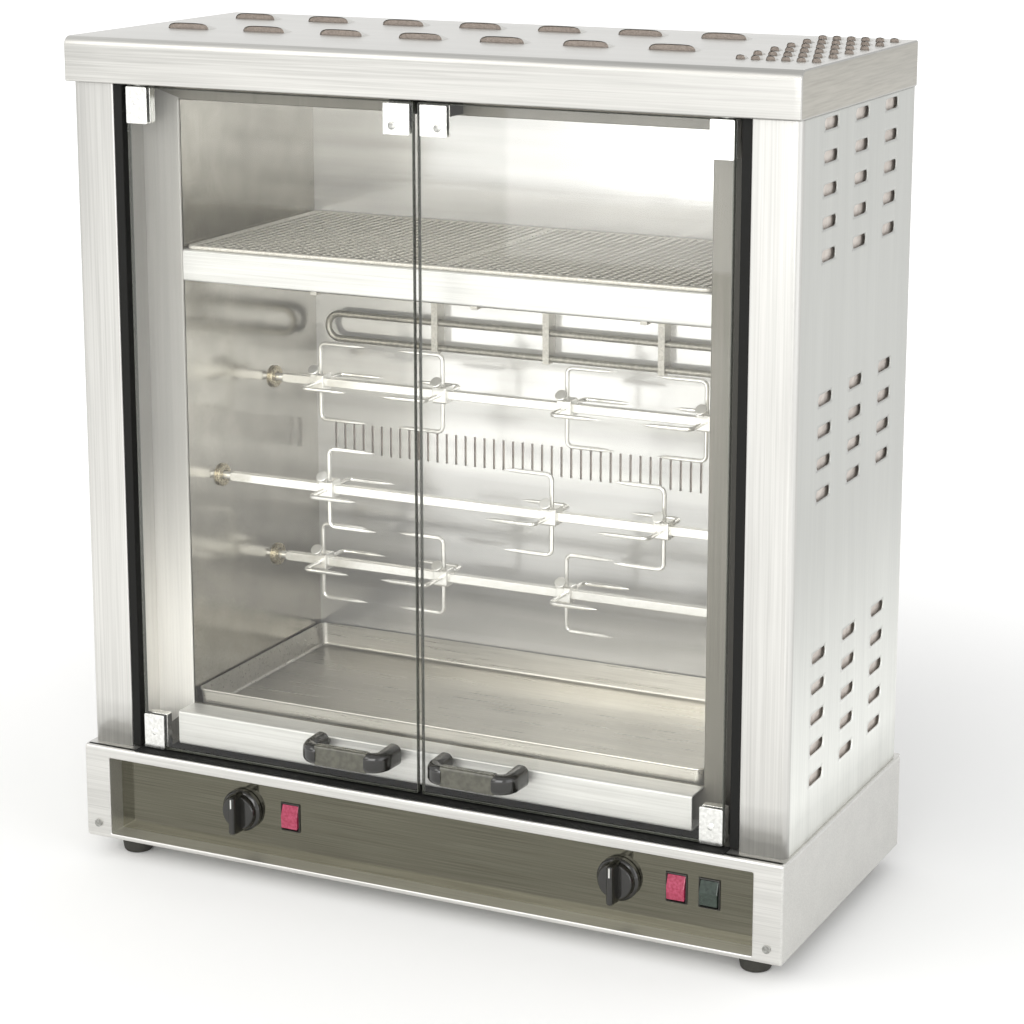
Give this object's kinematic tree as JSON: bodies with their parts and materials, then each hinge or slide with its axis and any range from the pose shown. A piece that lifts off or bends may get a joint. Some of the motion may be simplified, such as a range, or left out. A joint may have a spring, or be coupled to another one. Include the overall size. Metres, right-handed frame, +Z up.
{
  "type": "countertop rotisserie oven",
  "caption": "Countertop steel rotisserie oven with a warming shelf above turning spits, glass double doors with grip handles, a recessed control front, vented sides and louvred top.",
  "frame": {"origin": "on the floor under the middle of the whole outline, handles included", "axes": "+X to the right seen from the front, -Y out of the doors, +Z up"},
  "size_m": [0.85, 0.402, 0.946],
  "materials": {
    "brushed_housing": "brushed sheet, long straight grain",
    "satin_side": "satin sheet",
    "panel_dark": "smooth dark glossy coat",
    "rubber_black": "matt moulded rubber",
    "zinc_steel": "zinc plated",
    "cable_black": "moulded nylon",
    "ceramic": "glazed block",
    "bright_steel": "bright rolled sheet",
    "plated_wire": "plated wire",
    "heater_tube": "heat-tinted tube",
    "brass": "turned, plain",
    "spit_steel": "polished bar and rod",
    "black_gloss": "moulded, glossy",
    "magnet_black": "cased magnet",
    "door_glass": "lightly tinted toughened glass",
    "red_lens": "translucent moulding",
    "green_lens": "translucent moulding"
  },
  "bodies": {
    "cabinet": {"base_shell": "brushed_housing", "base_front": "brushed_housing", "base_deck": "brushed_housing", "control_panel": "panel_dark", "feet": "rubber_black", "foot_bolts": "zinc_steel", "left_side_panel": "satin_side", "right_side_panel": "satin_side", "back_panel": "brushed_housing", "service_cover": "brushed_housing", "cable_gland": "cable_black", "terminal_block": "ceramic", "top_cap": "brushed_housing", "opening_frame": "bright_steel", "cavity_left_wall": "bright_steel", "cavity_right_wall": "bright_steel", "cavity_back_wall": "bright_steel", "cavity_floor": "bright_steel", "cavity_ceiling": "bright_steel", "shelf_divider": "bright_steel", "shelf_rail": "bright_steel", "warming_shelf": "plated_wire", "drip_tray": "bright_steel", "front_sill": "bright_steel", "heating_elements": "heater_tube", "element_clips": "zinc_steel", "spit_bushes": "brass", "gearmotors": "zinc_steel", "thermostats": "zinc_steel", "switch_bezels": "black_gloss", "hinge_pins": "zinc_steel", "door_magnets": "magnet_black", "door_seals": "rubber_black", "panel_screws": "zinc_steel"},
    "left_door": {"left_glass": "door_glass", "left_hinge_plates": "bright_steel", "left_catch_plate": "bright_steel", "left_handle": "black_gloss", "left_handle_screws": "zinc_steel"},
    "right_door": {"right_glass": "door_glass", "right_hinge_plates": "bright_steel", "right_catch_plate": "bright_steel", "right_handle": "black_gloss", "right_handle_screws": "zinc_steel"},
    "left_knob": {"left_knob": "black_gloss"},
    "right_knob": {"right_knob": "black_gloss"},
    "left_rocker": {"left_rocker": "red_lens"},
    "right_rocker": {"right_rocker": "red_lens"},
    "dark_rocker": {"dark_rocker": "green_lens"},
    "upper_skewer": {"upper_spit": "spit_steel", "upper_forks": "spit_steel", "upper_socket": "spit_steel"},
    "middle_skewer": {"middle_spit": "spit_steel", "middle_forks": "spit_steel", "middle_socket": "spit_steel"},
    "lower_skewer": {"lower_spit": "spit_steel", "lower_forks": "spit_steel", "lower_socket": "spit_steel"}
  },
  "joints": [
    {"name": "left_door_hinge", "type": "hinge", "parent": "cabinet", "child": "left_door", "pos_m": [-0.341, -0.148, 0.137], "axis": [0, 0, 1], "range_deg": [-110, 0]},
    {"name": "right_door_hinge", "type": "hinge", "parent": "cabinet", "child": "right_door", "pos_m": [0.341, -0.148, 0.137], "axis": [0, 0, 1], "range_deg": [0, 110]},
    {"name": "left_knob_turn", "type": "hinge", "parent": "cabinet", "child": "left_knob", "pos_m": [-0.229, -0.155, 0.079], "axis": [0, 1, 0], "range_deg": [0, 290]},
    {"name": "right_knob_turn", "type": "hinge", "parent": "cabinet", "child": "right_knob", "pos_m": [0.233, -0.155, 0.079], "axis": [0, 1, 0], "range_deg": [0, 290]},
    {"name": "left_rocker_tilt", "type": "hinge", "parent": "cabinet", "child": "left_rocker", "pos_m": [-0.168, -0.146, 0.079], "axis": [1, 0, 0], "range_deg": [0, 16]},
    {"name": "right_rocker_tilt", "type": "hinge", "parent": "cabinet", "child": "right_rocker", "pos_m": [0.298, -0.146, 0.079], "axis": [1, 0, 0], "range_deg": [0, 16]},
    {"name": "dark_rocker_tilt", "type": "hinge", "parent": "cabinet", "child": "dark_rocker", "pos_m": [0.335, -0.146, 0.079], "axis": [1, 0, 0], "range_deg": [0, 16]},
    {"name": "upper_spit_spin", "type": "hinge", "parent": "cabinet", "child": "upper_skewer", "pos_m": [0, 0.075, 0.526], "axis": [1, 0, 0], "continuous": true},
    {"name": "middle_spit_spin", "type": "hinge", "parent": "cabinet", "child": "middle_skewer", "pos_m": [0, -0.045, 0.434], "axis": [1, 0, 0], "continuous": true},
    {"name": "lower_spit_spin", "type": "hinge", "parent": "cabinet", "child": "lower_skewer", "pos_m": [0, 0.075, 0.31], "axis": [1, 0, 0], "continuous": true}
  ]
}
